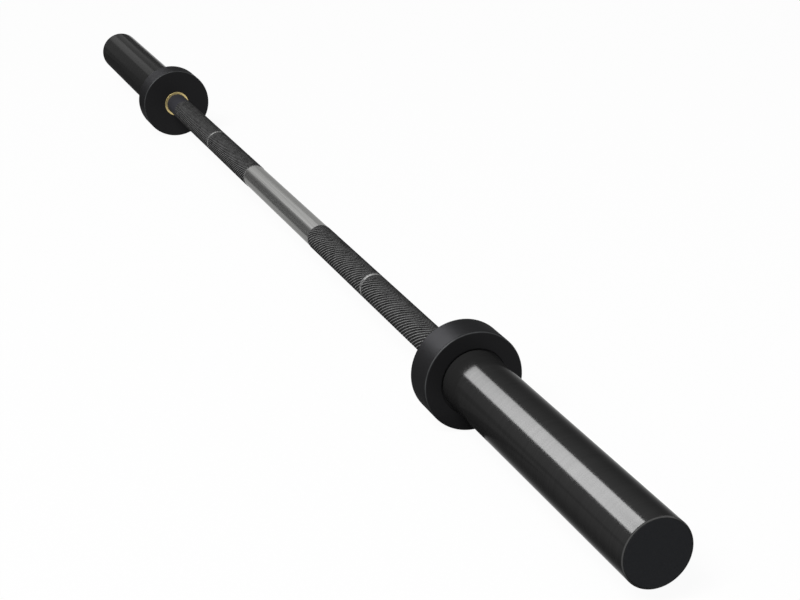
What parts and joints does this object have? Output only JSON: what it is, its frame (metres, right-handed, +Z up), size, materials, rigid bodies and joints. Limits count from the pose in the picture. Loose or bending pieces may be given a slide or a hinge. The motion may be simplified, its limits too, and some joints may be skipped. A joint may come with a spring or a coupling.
{
  "type": "olympic barbell",
  "caption": "Steel weightlifting bar with a knurled grip, ring marks and a smooth centre, and black sleeves with stop collars that spin on bushings at both ends.",
  "frame": {"origin": "the middle of the bar, on its axis", "axes": "+X along the bar, towards the end that is nearest in the picture; +Z up when the bar lies on a floor"},
  "size_m": [1.52, 0.08, 0.08],
  "materials": {
    "shaft_steel": "dark knurled steel with bare polished rings and centre",
    "hardware_steel": "ground steel",
    "bushing_bronze": "sintered bronze",
    "collar_black": "satin black coating on steel",
    "sleeve_black": "smooth black coating on steel",
    "cap_black": "black anodised",
    "seal_rubber": "nitrile rubber"
  },
  "bodies": {
    "shaft": {"shaft": "shaft_steel", "left_inner_thrust_washer": "hardware_steel", "left_backing_washer": "hardware_steel", "left_retaining_ring": "hardware_steel", "right_inner_thrust_washer": "hardware_steel", "right_backing_washer": "hardware_steel", "right_retaining_ring": "hardware_steel"},
    "left_sleeve": {"left_collar": "collar_black", "left_sleeve_tube": "sleeve_black", "left_inner_bushing": "bushing_bronze", "left_outer_bushing": "bushing_bronze", "left_thrust_washer": "bushing_bronze", "left_end_cap": "cap_black", "left_cap_o_ring": "seal_rubber"},
    "right_sleeve": {"right_collar": "collar_black", "right_sleeve_tube": "sleeve_black", "right_inner_bushing": "bushing_bronze", "right_outer_bushing": "bushing_bronze", "right_thrust_washer": "bushing_bronze", "right_end_cap": "cap_black", "right_cap_o_ring": "seal_rubber"}
  },
  "joints": [
    {"name": "left_sleeve_spin", "type": "hinge", "parent": "shaft", "child": "left_sleeve", "pos_m": [-0.6025, 0, 0], "axis": [1, 0, 0], "continuous": true},
    {"name": "right_sleeve_spin", "type": "hinge", "parent": "shaft", "child": "right_sleeve", "pos_m": [0.6025, 0, 0], "axis": [1, 0, 0], "continuous": true}
  ]
}
